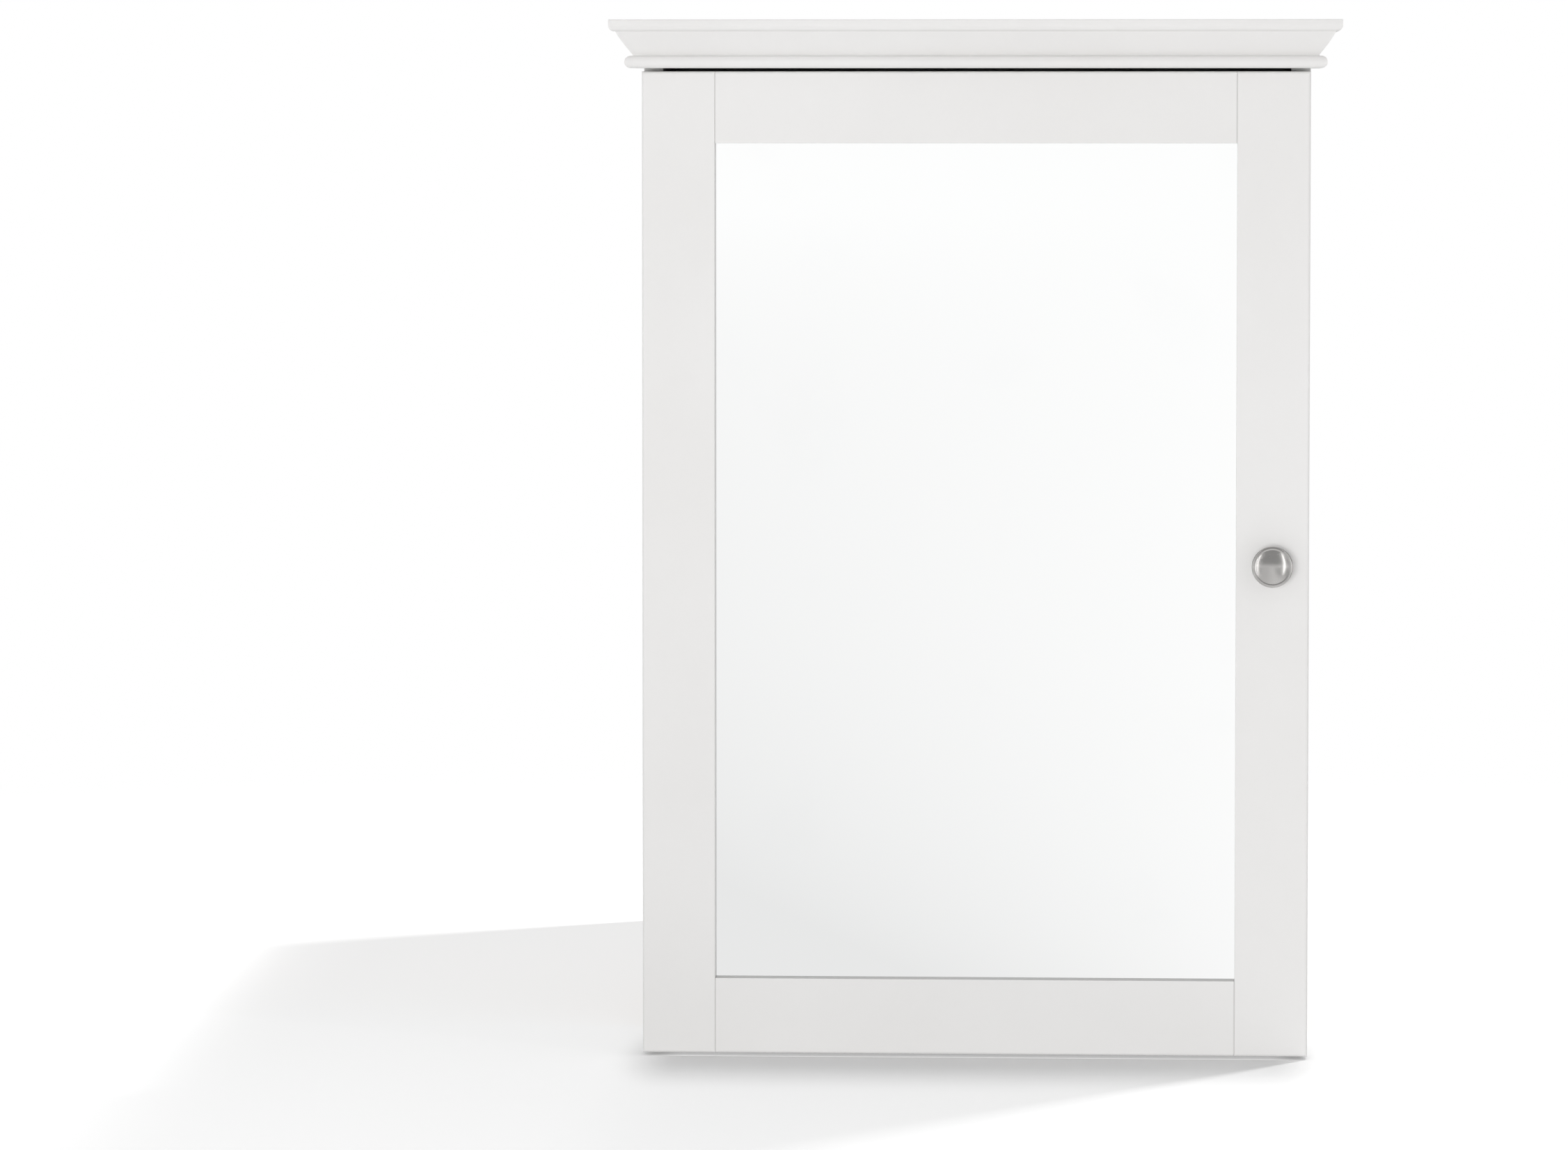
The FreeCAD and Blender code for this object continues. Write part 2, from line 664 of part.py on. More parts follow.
def shelves():
    half = "half_inner - shelf_end_gap"
    for label in ("lower_shelf", "upper_shelf"):
        body = plate(label, "XY_Plane", f"-({half})", "-shelf_depth", half, "0", "shelf_thick", "+z")
        round_edges(body, "panel_ease", {"y": "-shelf_depth", "z": "0"},
                    {"y": "-shelf_depth", "z": "shelf_thick"})
        place(body, y="back_face - shelf_back_gap", z=f"floor_level + {label}_level")

    support = new_body("shelf_pin", is_node=False)
    disc = new_sketch(support, "YZ_Plane")
    rectangle(disc, "-pin_width / 2", "-pin_height / 2", "pin_width / 2", "pin_height / 2")
    pad(support, disc, "pin_plate", "+x")
    tongue = new_sketch(support, "XZ_Plane")
    rectangle(tongue, "0", "-pin_plate / 2", "pin_reach", "pin_plate / 2")
    pad(support, tongue, "pin_width")
    rib = new_sketch(support, "XZ_Plane")
    outline(rib, [("0", "0"), ("0", "-pin_height / 2"), ("pin_plate", "-pin_height / 2"),
                  ("pin_reach - pin_plate", "-pin_plate / 2"), ("pin_reach - pin_plate", "0")])
    pad(support, rib, "pin_plate")
    peg = circles(new_sketch(support, "YZ_Plane"), "pin_hole_dia - 2 * fit_clear", [("0", "0")])
    pad(support, peg, "pin_hole_depth - fit_clear", "-x")
    group("shelf_pins", support, [
        (x, y, f"floor_level + {level}", inward, UP)
        for level in ("lower_pin_level", "upper_pin_level")
        for x, inward in (("-half_inner", RIGHT), ("half_inner", LEFT))
        for y in ("pin_front", "pin_rear")
    ])


# Crown cornice

def crown_profile(sketch, out):
    """The moulding's section: a bead, a quirk and a slightly rounded splay, leaning out along out (1 or -1) times x."""
    onward = "left" if out == 1 else "right"
    bead = "bead_height / 2"
    return outline(sketch, [
        ("0", "0"),
        (f"{out} * bead_root_out", "0"),
        (f"{out} * (bead_root_out + {bead})", bead, bead, onward),
        (f"{out} * bead_root_out", "bead_height", bead, onward),
        (f"{out} * splay_foot_out", "bead_height"),
        (f"{out} * splay_foot_out", "bead_height + quirk_height"),
        (f"{out} * splay_head_out", "crown_height", "splay_radius", onward),
        ("0", "crown_height"),
    ])


def crown():
    front = new_body("crown_front")
    pad(front, crown_profile(new_sketch(front, "YZ_Plane"), -1), "carcass_width + 2 * mitre_reach")
    for side in (1, -1):
        mitre = new_sketch(front, "XY_Plane", "crown_height")
        outline(mitre, [(f"{side} * (half_width - mitre_reach)", "mitre_reach"),
                        (f"{side} * (half_width + mitre_reach)", "-mitre_reach"),
                        (f"{side} * (half_width + mitre_reach)", "mitre_reach")])
        cut(front, mitre, "crown_height", "-z")
    place(front, y="-top_depth", z="roof_level")

    for label, side in (("crown_left_return", -1), ("crown_right_return", 1)):
        body = new_body(label)
        pad(body, crown_profile(new_sketch(body, "XZ_Plane"), side), "top_depth + mitre_reach", "-y")
        mitre = new_sketch(body, "XY_Plane", "crown_height")
        outline(mitre, [(f"{-side} * mitre_reach", "mitre_reach - top_depth"),
                        (f"{side} * mitre_reach", "-mitre_reach - top_depth"),
                        (f"{-side} * mitre_reach", "-mitre_reach - top_depth")])
        cut(body, mitre, "crown_height", "-z")
        place(body, f"{side} * half_width", "0", "roof_level")


def top_cap():
    side, front = "half_width + cap_overhang", "-(top_depth + cap_overhang)"
    body = plate("top_cap", "XY_Plane", f"-({side})", front, side, "0", "cap_thick", "+z")
    rim = ({"y": front}, {"x": side}, {"x": f"-({side})"})
    round_edges(body, "cap_round", *({**edge, "z": "0"} for edge in rim))
    round_edges(body, "cap_ease", *({**edge, "z": "cap_thick"} for edge in rim))
    place(body, z="cap_level")


def cap_batten(label, y):
    batten = doc.addObject("Part::Box", label)
    batten.Label = label
    bind(batten, Length="carcass_width", Width="batten_width", Height="crown_height - panel_thick")
    place(batten, "-half_width", y, "roof_level + panel_thick")
    nodes.append(batten)


# Door frame

def stile(label, outer, inner, x):
    """A stile with its rebate and mortises. outer and inner are the levels of its two edges."""
    body = plate(label, "XZ_Plane", "0", "0", "stile_width", "door_height", "door_thick", "-y")
    rim = [{"x": outer}, {"z": "0"}, {"z": "door_height"}]
    round_edges(body, "edge_round", *({**edge, "y": "-door_thick"} for edge in rim))
    round_edges(body, "edge_round", *({**edge, "y": "0"} for edge in rim))
    inner_edge = new_sketch(body, "XY_Plane")
    step = f"{inner} {'-' if inner == 'stile_width' else '+'} inner_ease"
    outline(inner_edge, [(step, "-door_thick"), (inner, "-door_thick"), (inner, "-door_thick + inner_ease")])
    cut(body, inner_edge, "door_height", "+z")

    into = "-x" if inner == "stile_width" else "+x"
    reach = f"{inner} {into[0]} rebate_width"
    rebate = new_sketch(body, "XZ_Plane")
    rectangle(rebate, reach, "bottom_rail_height - rebate_width",
              inner, "door_height - top_rail_height + rebate_width")
    cut(body, rebate, "rebate_depth", "-y")
    for low, high in (("tenon_shoulder", "bottom_rail_height - tenon_shoulder"),
                      ("door_height - top_rail_height + tenon_shoulder", "door_height - tenon_shoulder")):
        mortise = new_sketch(body, "YZ_Plane", inner)
        rectangle(mortise, "-(tenon_back + tenon_thick)", low, "-tenon_back", high)
        cut(body, mortise, "tenon_length", into)
    place(body, x, "door_back", "door_foot")
    return body


def left_stile():
    body = stile("left_stile", "0", "stile_width", "-half_width")
    cup_x = "cup_centre + hinge_pin_inset"
    hinges = ("lower_hinge", "upper_hinge")
    drill(body, "XZ_Plane", "0", "-y", "cup_dia", "cup_depth", [(cup_x, hinge) for hinge in hinges])
    pilots = [(f"{cup_x} + wing_offset", f"{hinge} {sign} wing_reach") for hinge in hinges for sign in "+-"]
    drill(body, "XZ_Plane", "0", "-y", "screw_bore", "screw_length", pilots)


def right_stile():
    body = stile("right_stile", "stile_width", "0", "half_width - stile_width")
    drill(body, "XZ_Plane", "0", "-y", "knob_screw_dia + knob_screw_play", "door_thick",
          [("stile_width / 2", "knob_height")])
    strike_x = "stile_width - panel_thick - catch_height / 2"
    pilots = [(strike_x, f"catch_height_up {sign} strike_screw_spread") for sign in "+-"]
    drill(body, "XZ_Plane", "0", "-y", "screw_bore", "screw_length", pilots)


def rail(label, tall, outer, inner, z):
    """A rail with its rebate and stub tenons. outer and inner are the levels of its two edges."""
    body = plate(label, "XZ_Plane", "0", "0", "mirror_width", tall, "door_thick", "-y")
    round_edges(body, "edge_round", {"z": outer, "y": "-door_thick"}, {"z": outer, "y": "0"})
    round_edges(body, "inner_ease", {"z": inner, "y": "-door_thick"})
    step = "+" if inner == "0" else "-"
    rebate = new_sketch(body, "XZ_Plane")
    rectangle(rebate, "0", inner, "mirror_width", f"{inner} {step} rebate_width")
    cut(body, rebate, "rebate_depth", "-y")
    for end, away in (("0", "-x"), ("mirror_width", "+x")):
        tenon = new_sketch(body, "YZ_Plane", end)
        rectangle(tenon, "-(tenon_back + tenon_thick - fit_clear)", "tenon_shoulder + fit_clear",
                  "-(tenon_back + fit_clear)", f"{tall} - tenon_shoulder - fit_clear")
        pad(body, tenon, "tenon_length - fit_clear", away)
    place(body, "-mirror_width / 2", "door_back", z)


def mirror():
    for label, thick, front in (("mirror_glass", "mirror_thick", "rebate_depth"),
                                ("mirror_backing", "backing_thick", "rebate_depth - mirror_thick")):
        body = plate(label, "XZ_Plane", "-glass_width / 2", "0", "glass_width / 2", "glass_height",
                     thick, "-y")
        place(body, y=f"door_back - ({front}) + {thick}", z="glass_foot")


def backing_beads():
    """Strips that hold the glass and its backing in the rebate, flush with the back of the door."""
    tall, wide = "glass_height", "glass_width - 2 * backing_bead_width"
    across = "glass_width / 2 - backing_bead_width"
    for label, length, upright, x, z, inner in (
            ("left_backing_bead", tall, True, "-glass_width / 2", "glass_foot", "backing_bead_width"),
            ("right_backing_bead", tall, True, across, "glass_foot", "0"),
            ("bottom_backing_bead", wide, False, f"-({across})", "glass_foot", "backing_bead_width"),
            ("top_backing_bead", wide, False, f"-({across})",
             "glass_foot + glass_height - backing_bead_width", "0")):
        right, top = ("backing_bead_width", length) if upright else (length, "backing_bead_width")
        body = plate(label, "XZ_Plane", "0", "0", right, top, "backing_bead_thick", "-y")
        chamfer_edges(body, "backing_bead_chamfer", {"y": "0", "x" if upright else "z": inner})
        place(body, x, "door_back", z)


# Concealed hinges, in a frame whose z axis is the hinge pin

def hinge_place(body, hinge):
    place(body, "pin_axis_x", "pin_axis_y", f"door_foot + {hinge}")


def hinge_cup(label, hinge):
    """A cast cup with parallel cheeks that carry the pin, and a winged flange on the door's back."""
    body = new_body(label)
    shell = circles(new_sketch(body, "XZ_Plane", "hinge_pin_depth"), "cup_dia - 2 * fit_clear",
                    [("cup_centre", "0")])
    pad(body, shell, "cup_depth - fit_clear", "-y")
    lip = circles(new_sketch(body, "XZ_Plane", "hinge_pin_depth"), "cup_dia + 2 * flange_lip",
                  [("cup_centre", "0")])
    pad(body, lip, "flange_thick", "+y")
    wings = slot(new_sketch(body, "XZ_Plane", "hinge_pin_depth"), "cup_centre + wing_offset", "0",
                 "wing_reach", "wing_radius")
    pad(body, wings, "flange_thick", "+y")
    left, right = "cup_centre - cup_half_throat", "cup_centre + cup_half_throat"
    cavity = outline(new_sketch(body, "XZ_Plane", "hinge_pin_depth + flange_thick"), [
        (left, "-cup_throat / 2", "cup_inner_radius", "left"), (right, "-cup_throat / 2"),
        (right, "cup_throat / 2", "cup_inner_radius", "left"), (left, "cup_throat / 2")])
    cut(body, cavity, "flange_thick + cup_depth - cup_wall - fit_clear", "-y")
    drill(body, "XY_Plane", "-hinge_pin_length / 2", "+z", "hinge_pin_dia + 2 * pin_press_clear",
          "hinge_pin_length", [("0", "0")])
    screws = [("cup_centre + wing_offset", f"{sign}wing_reach") for sign in ("", "-")]
    drill(body, "XZ_Plane", "hinge_pin_depth", "+y", "screw_bore", "flange_thick", screws)
    hinge_place(body, hinge)


def hinge_pin(label, hinge):
    pin = doc.addObject("Part::Cylinder", label)
    pin.Label = label
    bind(pin, Radius="hinge_pin_dia / 2", Height="hinge_pin_length")
    place(pin, "pin_axis_x", "pin_axis_y", f"door_foot + {hinge} - hinge_pin_length / 2")
    nodes.append(pin)


def hinge_arm(label, hinge):
    """A gooseneck rolled round the pin, which widens to a channel that straddles the plate."""
    body = new_body(label)
    knuckle = circles(new_sketch(body, "XY_Plane"), "knuckle_dia", [("0", "0")])
    pad(body, knuckle, "knuckle_width")
    half, bend = "arm_thick / 2", "arm_bend + arm_thick"
    neck = outline(new_sketch(body, "XY_Plane"), [
        ("0", f"-{half}"),
        (f"web_outside - ({bend})", f"-{half}"),
        ("web_outside", f"{bend} - {half}", bend, "left"),
        ("web_outside", "carcass_edge + arm_channel_end"),
        ("web_inside", "carcass_edge + arm_channel_end"),
        ("web_inside", f"arm_bend + {half}"),
        ("web_inside - arm_bend", half, "arm_bend", "right"),
        ("0", half),
    ])
    pad(body, neck, "knuckle_width")
    start, end = "carcass_edge + arm_channel_start", "carcass_edge + arm_channel_end"
    web = outline(new_sketch(body, "YZ_Plane", "web_inside"), [
        (f"{start} - arm_cheek_thick", "-knuckle_width / 2"), (start, "-arm_width / 2"),
        (end, "-arm_width / 2"), (end, "arm_width / 2"),
        (start, "arm_width / 2"), (f"{start} - arm_cheek_thick", "knuckle_width / 2")])
    pad(body, web, "arm_thick", "+x")
    for side in (1, -1):
        cheek = rectangle(new_sketch(body, "YZ_Plane", "web_inside"), start,
                          f"{side} * (arm_width / 2 - arm_cheek_thick)", end, f"{side} * arm_width / 2")
        pad(body, cheek, "web_inside - plate_top - arm_clear", "-x")
    drill(body, "XY_Plane", "-knuckle_width / 2", "+z", "hinge_pin_dia + 2 * pin_running_clear",
          "knuckle_width", [("0", "0")])
    screws = [(f"carcass_edge + {inset}", "0") for inset in ("arm_adjust_inset", "arm_fix_inset")]
    drill(body, "YZ_Plane", "web_outside", "-x", "arm_screw_dia + 2 * fit_clear", "arm_thick", screws)
    hinge_place(body, hinge)


def hinge_plate(label, hinge):
    """A winged mounting plate on the side board, with a raised back that the arm sits on."""
    body = new_body(label)
    middle = "carcass_edge + plate_inset"
    wings = slot(new_sketch(body, "YZ_Plane", "side_face"), middle, "0", "plate_screw_spread",
                 "plate_wing_radius")
    pad(body, wings, "plate_base", "+x")
    ridge = rectangle(new_sketch(body, "YZ_Plane", "side_face"), "carcass_edge + plate_front",
                      "-plate_half_boss", "carcass_edge + plate_end", "plate_half_boss")
    pad(body, ridge, "web_inside - side_face", "+x")
    screws = [(middle, f"{sign}plate_screw_spread") for sign in ("", "-")]
    drill(body, "YZ_Plane", "side_face", "+x", "screw_bore", "plate_base", screws)
    bores = [(f"carcass_edge + {inset}", "0") for inset in ("arm_adjust_inset", "arm_fix_inset")]
    drill(body, "YZ_Plane", "side_face", "+x", "arm_screw_dia + 2 * fit_clear",
          "web_inside - side_face", bores)
    hinge_place(body, hinge)


def screw_master(label, head_dia, head_thick, crown, dia, length):
    """A pan-head screw with a crossed recess. Its head rises from z = 0 and its shank goes down."""
    body = new_body(label, is_node=False)
    revolve(body, "XZ_Plane", [
        ("0", f"-({length})"), (f"{dia} / 2", f"-({length})"), (f"{dia} / 2", "0"), (f"{head_dia} / 2", "0"),
        (f"{head_dia} / 2", f"{head_thick} - {crown}"), (f"{head_dia} / 2 - {crown}", head_thick),
        ("0", head_thick)])
    cross_recess(body, head_thick, "recess_length", "recess_width", "recess_depth")
    return body


def hinge_screws(screw):
    arm_screw = screw_master("arm_screw", "arm_screw_head_dia", "arm_screw_head_thick", "screw_head_crown",
                             "arm_screw_dia", "arm_thick + web_inside - side_face - fit_clear")
    hinges = ("lower_hinge", "upper_hinge")
    group("hinge_arm_screws", arm_screw, [
        ("pin_axis_x + web_outside", f"-carcass_depth + {inset}", f"door_foot + {hinge}", UP, RIGHT)
        for hinge in hinges for inset in ("arm_adjust_inset", "arm_fix_inset")])
    group("hinge_plate_screws", screw, [
        ("pin_axis_x + plate_top", "plate_screw_y",
         f"door_foot + {hinge} {sign} plate_screw_spread", UP, RIGHT)
        for hinge in hinges for sign in "+-"])
    group("hinge_cup_screws", screw, [
        ("pin_axis_x + cup_centre + wing_offset", "door_back + flange_thick",
         f"door_foot + {hinge} {sign} wing_reach", RIGHT, BACK)
        for hinge in hinges for sign in "+-"])


# Magnetic catch, strike and bumpers

def catch(screw):
    """A magnet between two steel poles in a housing on the knob-side board, and its strike on the door."""
    height = "door_foot + catch_height_up"
    housing = new_body("catch_housing")
    block = new_sketch(housing, "XZ_Plane")
    rectangle(block, "-catch_height", "-catch_length / 2", "0", "catch_length / 2")
    pad(housing, block, "catch_depth", "-y")
    round_edges(housing, "catch_round", *({"x": "-catch_height", "z": f"{sign}catch_length / 2"}
                                          for sign in ("", "-")))
    flange = new_sketch(housing, "XZ_Plane")
    rectangle(flange, "-catch_flange_thick", "-catch_flange_length / 2", "0", "catch_flange_length / 2")
    pad(housing, flange, "catch_depth", "-y")
    pocket_half = "magnet_thick / 2 + pole_thick + fit_clear"
    pocket = new_sketch(housing, "XZ_Plane", "-catch_depth")
    rectangle(pocket, f"-catch_height / 2 - ({pocket_half})", "-pole_width / 2 - fit_clear",
              f"-catch_height / 2 + {pocket_half}", "pole_width / 2 + fit_clear")
    cut(housing, pocket, "pole_depth", "+y")
    screws = [("-catch_depth / 2", f"{sign}catch_screw_spread") for sign in ("", "-")]
    drill(housing, "YZ_Plane", "0", "-x", "screw_bore", "catch_flange_thick", screws)
    place(housing, "half_inner", "catch_front + catch_depth", height)

    magnet = doc.addObject("Part::Box", "catch_magnet")
    magnet.Label = "catch_magnet"
    bind(magnet, Length="magnet_thick", Width="pole_depth - magnet_recess", Height="pole_width")
    place(magnet, "catch_middle - magnet_thick / 2", "catch_front + magnet_recess",
          f"{height} - pole_width / 2")
    nodes.append(magnet)

    pole = doc.addObject("Part::Box", "catch_pole")
    bind(pole, Length="pole_thick", Width="pole_depth + pole_proud", Height="pole_width")
    group("catch_poles", pole, [
        (f"catch_middle {offset}", "pole_tip", f"{height} - pole_width / 2", RIGHT, UP)
        for offset in ("- magnet_thick / 2 - pole_thick", "+ magnet_thick / 2")])
    group("catch_screws", screw, [
        ("half_inner - catch_flange_thick", "catch_screw_y", f"{height} {sign} catch_screw_spread", UP, LEFT)
        for sign in "+-"])

    strike = new_body("strike_plate")
    sheet_metal = new_sketch(strike, "XZ_Plane")
    rectangle(sheet_metal, "-strike_width / 2", "-strike_length / 2", "strike_width / 2", "strike_length / 2")
    pad(strike, sheet_metal, "strike_thick", "+y")
    round_edges(strike, "strike_round", *({"x": f"{x}strike_width / 2", "z": f"{z}strike_length / 2"}
                                          for x in ("", "-") for z in ("", "-")))
    drill(strike, "XZ_Plane", "0", "+y", "screw_bore", "strike_thick",
          [("0", f"{sign}strike_screw_spread") for sign in ("", "-")])
    place(strike, "catch_middle", "door_back", height)
    group("strike_screws", screw, [
        ("catch_middle", "door_back + strike_thick", f"{height} {sign} strike_screw_spread", RIGHT, BACK)
        for sign in "+-"])


def bumpers():
    bumper = new_body("door_bumper", is_node=False)
    radius, tall = "bumper_dia / 2", "door_gap - catch_air"
    revolve(bumper, "XZ_Plane", [
        ("0", "0"), (radius, "0"), (radius, f"{tall} - bumper_round"),
        (f"{radius} - bumper_round", tall, "bumper_round", "left"), ("0", tall)])
    group("door_bumpers", bumper, [
        ("half_width - panel_thick / 2", "door_back", f"door_foot + {height}", RIGHT, BACK)
        for height in ("bumper_end_inset", "door_height - bumper_end_inset")])


# Knob

def knob():
    """A turned knob: foot, neck, flared back, round rim, groove and a low dome."""
    body = new_body("knob")
    bore = "knob_screw_dia / 2 + fit_clear"
    revolve(body, "XY_Plane", [
        (bore, "0"),
        ("knob_foot_dia / 2", "0"),
        ("knob_foot_dia / 2", "-knob_foot_thick"),
        ("knob_neck_dia / 2", "-knob_neck_start"),
        ("knob_neck_dia / 2", "-knob_neck_end"),
        ("knob_dia / 2", "-knob_rim_back", "knob_flare_radius", "left"),
        ("knob_dia / 2", "-(knob_rim_back + knob_rim_side)"),
        ("knob_rim_top", "-knob_rim_front", "knob_rim_round", "right"),
        ("knob_dome_edge", "-knob_groove_floor"),
        ("0", "-(knob_groove_floor + knob_dome_rise)", "knob_dome_radius", "right"),
        ("0", "-knob_bore_depth"),
        (bore, "-knob_bore_depth"),
    ])
    place(body, "knob_x", "-top_depth", "door_foot + knob_height")

    screw = screw_master("machine_screw", "knob_screw_head_dia", "knob_screw_head_thick", "screw_head_crown",
                         "knob_screw_dia", "door_thick + knob_bore_depth - fit_clear")
    group("knob_screw", screw, [("knob_x", "door_back", "door_foot + knob_height", RIGHT, BACK)])


left_side_panel()
right_side_panel()
top_panel()
bottom_panel()
back_panel()
hanging_rail("lower_hanging_rail", "lower_rail_mid")
hanging_rail("upper_hanging_rail", "upper_rail_mid")
joint_hardware()
shelves()
crown()
top_cap()
cap_batten("rear_cap_batten", "-batten_width")
cap_batten("front_cap_batten", "-top_depth")
left_stile()
right_stile()
rail("top_rail", "top_rail_height", "top_rail_height", "0", "door_foot + door_height - top_rail_height")
rail("bottom_rail", "bottom_rail_height", "0", "bottom_rail_height", "door_foot")
mirror()
backing_beads()
for level in ("lower", "upper"):
    hinge_cup(f"{level}_hinge_cup", f"{level}_hinge")
    hinge_pin(f"{level}_hinge_pin", f"{level}_hinge")
    hinge_arm(f"{level}_hinge_arm", f"{level}_hinge")
    hinge_plate(f"{level}_hinge_plate", f"{level}_hinge")
wood_screw = screw_master("wood_screw", "screw_head_dia", "screw_head_thick", "screw_head_crown",
                          "screw_dia", "screw_length")
hinge_screws(wood_screw)
catch(wood_screw)
bumpers()
knob()

# Check every feature and every piece, then write the pieces

doc.recompute()
failed = [item.Label for item in doc.Objects if {"Invalid", "Error"} & set(item.State)]
failed += [node.Label for node in nodes if node.Shape.isNull() or not node.Shape.isValid()]
if failed:
    raise RuntimeError("failed: " + ", ".join(failed))
os.makedirs("parts", exist_ok=True)
for node in nodes:
    node.Shape.exportStep(f"parts/{node.Label}.step")
print(f"{len(nodes)} nodes written")
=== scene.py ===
import bmesh
import bpy
import math
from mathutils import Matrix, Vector


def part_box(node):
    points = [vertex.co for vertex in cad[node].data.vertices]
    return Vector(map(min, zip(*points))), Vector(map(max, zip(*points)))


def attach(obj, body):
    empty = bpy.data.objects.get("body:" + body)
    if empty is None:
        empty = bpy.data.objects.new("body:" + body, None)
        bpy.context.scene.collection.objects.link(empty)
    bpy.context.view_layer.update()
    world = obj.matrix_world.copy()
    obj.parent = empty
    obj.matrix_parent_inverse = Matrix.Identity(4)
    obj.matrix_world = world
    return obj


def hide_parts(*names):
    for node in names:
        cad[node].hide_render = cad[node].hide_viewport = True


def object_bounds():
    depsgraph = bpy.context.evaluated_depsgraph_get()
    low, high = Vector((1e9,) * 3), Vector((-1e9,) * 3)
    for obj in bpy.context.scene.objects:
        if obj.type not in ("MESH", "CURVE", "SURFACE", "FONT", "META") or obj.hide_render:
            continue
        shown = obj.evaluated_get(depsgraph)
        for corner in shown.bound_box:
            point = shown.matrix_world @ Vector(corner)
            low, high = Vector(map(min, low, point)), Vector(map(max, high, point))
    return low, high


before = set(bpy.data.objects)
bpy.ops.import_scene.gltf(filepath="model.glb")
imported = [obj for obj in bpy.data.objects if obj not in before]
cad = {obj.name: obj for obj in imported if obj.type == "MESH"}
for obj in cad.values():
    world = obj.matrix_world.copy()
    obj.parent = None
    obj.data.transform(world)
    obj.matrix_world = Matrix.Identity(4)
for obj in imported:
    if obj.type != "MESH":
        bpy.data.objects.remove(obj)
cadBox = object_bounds()  # the solids' own box, before the floor and lamps are added
scene = bpy.context.scene
scene.view_settings.view_transform = "Standard"
doorFace = -0.173  # where the door's front lies, in y


# Shader tools

class Wire:  # a node's output, which Python sums can use
    def __init__(self, board, socket):
        self.board = board
        self.socket = socket

    def sum(self, operation, first, second):
        return self.board.node("Math", {"operation": operation}, {0: first, 1: second})

    def __add__(self, other):
        return self.sum("ADD", self, other)

    def __radd__(self, other):
        return self.sum("ADD", other, self)

    def __sub__(self, other):
        return self.sum("SUBTRACT", self, other)

    def __rsub__(self, other):
        return self.sum("SUBTRACT", other, self)

    def __mul__(self, other):
        return self.sum("MULTIPLY", self, other)

    def __rmul__(self, other):
        return self.sum("MULTIPLY", other, self)

    def __gt__(self, other):
        return self.sum("GREATER_THAN", self, other)

    def __abs__(self):
        return self.board.node("Math", {"operation": "ABSOLUTE"}, {0: self})


class Board:  # the nodes of one material or of the world
    def __init__(self, owner):
        owner.use_nodes = True
        self.owner = owner
        self.tree = owner.node_tree

    def feed(self, socket, value):
        if isinstance(value, Wire):
            self.tree.links.new(value.socket, socket)
        else:
            socket.default_value = value

    def node(self, kind, settings, sockets, output=0):
        made = self.tree.nodes.new("ShaderNode" + kind)
        for name, value in settings.items():
            setattr(made, name, value)
        for name, value in sockets.items():
            self.feed(made.inputs[name], value)
        return Wire(self, made.outputs[output])

    def fade(self, value, low, high):  # 0 at low, 1 at high, eased between
        return self.node("MapRange", {"interpolation_type": "SMOOTHSTEP"},
                         {"Value": value, "From Min": low, "From Max": high})

    def blend(self, mask, first, second):  # colours
        return self.node("Mix", {"data_type": "RGBA"}, {0: mask, 6: first, 7: second}, 2)

    def clouds(self, noise, first, second):  # two colours in soft patches
        return self.blend(self.fade(noise, 0.3, 0.7), first, second)

    def rays(self, kind):
        return self.node("LightPath", {}, {}, f"Is {kind} Ray")


class Finish(Board):  # a material around its Principled shader
    def __init__(self, name, metallic=0.0):
        super().__init__(bpy.data.materials.new(name))
        self.shader = self.tree.nodes["Principled BSDF"]
        self.shader.inputs["Metallic"].default_value = metallic
        self.spot = self.node("TexCoord", {}, {}, "Object")
        self.x, self.y, self.z = (self.node("SeparateXYZ", {}, {0: self.spot}, axis) for axis in range(3))

    def noise(self, scale, detail=2.0, stretch=(1, 1, 1)):
        where = self.node("Mapping", {}, {"Vector": self.spot, "Scale": stretch})
        return self.node("TexNoise", {}, {"Vector": where, "Scale": scale, "Detail": detail})

    def waves(self, along, pitch):
        return self.node("Math", {"operation": "SINE"}, {0: 2 * math.pi / pitch * along})

    def fromKnob(self):  # distance from the knob's axis
        flat = self.node("CombineXYZ", {}, {0: self.x, 2: self.z})
        axis = (knob["x"], 0, knob["z"])
        return self.node("VectorMath", {"operation": "DISTANCE"}, {0: flat, 1: axis}, "Value")

    def relief(self, height, depth):  # bump of a real depth in metres
        return self.node("Bump", {}, {"Height": height, "Distance": depth, "Strength": 1.0})

    def coat(self, **sockets):
        for name, value in sockets.items():
            self.feed(self.shader.inputs[name.replace("_", " ")], value)
        return self


def rgb(red, green, blue):
    return (red, green, blue, 1.0)


def wear(finish, *names):
    for name in names:
        slots = cad[name].data.materials
        slots.clear()
        slots.append(finish.owner)


black = rgb(0, 0, 0)
white = rgb(1, 1, 1)

# Knob sizes stand first, because two finishes follow its axis
knob = {"x": 0.228, "z": -0.0075, "turns": 128, "arcSteps": 14, "mergeWithin": 0.000002,
        "footRadius": 0.0075, "footThick": 0.002, "neckRadius": 0.0055, "neckStart": 0.004, "neckEnd": 0.008,
        "flareCentre": (0.01589, 0.002), "flareAngle": 60.0, "rimRadius": 0.015875, "rimBack": 0.014,
        "rimSide": 0.001, "rimRound": 0.002, "grooveWidth": 0.0008, "grooveDepth": 0.0004, "domeRise": 0.0042}


# Satin lacquer on the door frame and the cornice

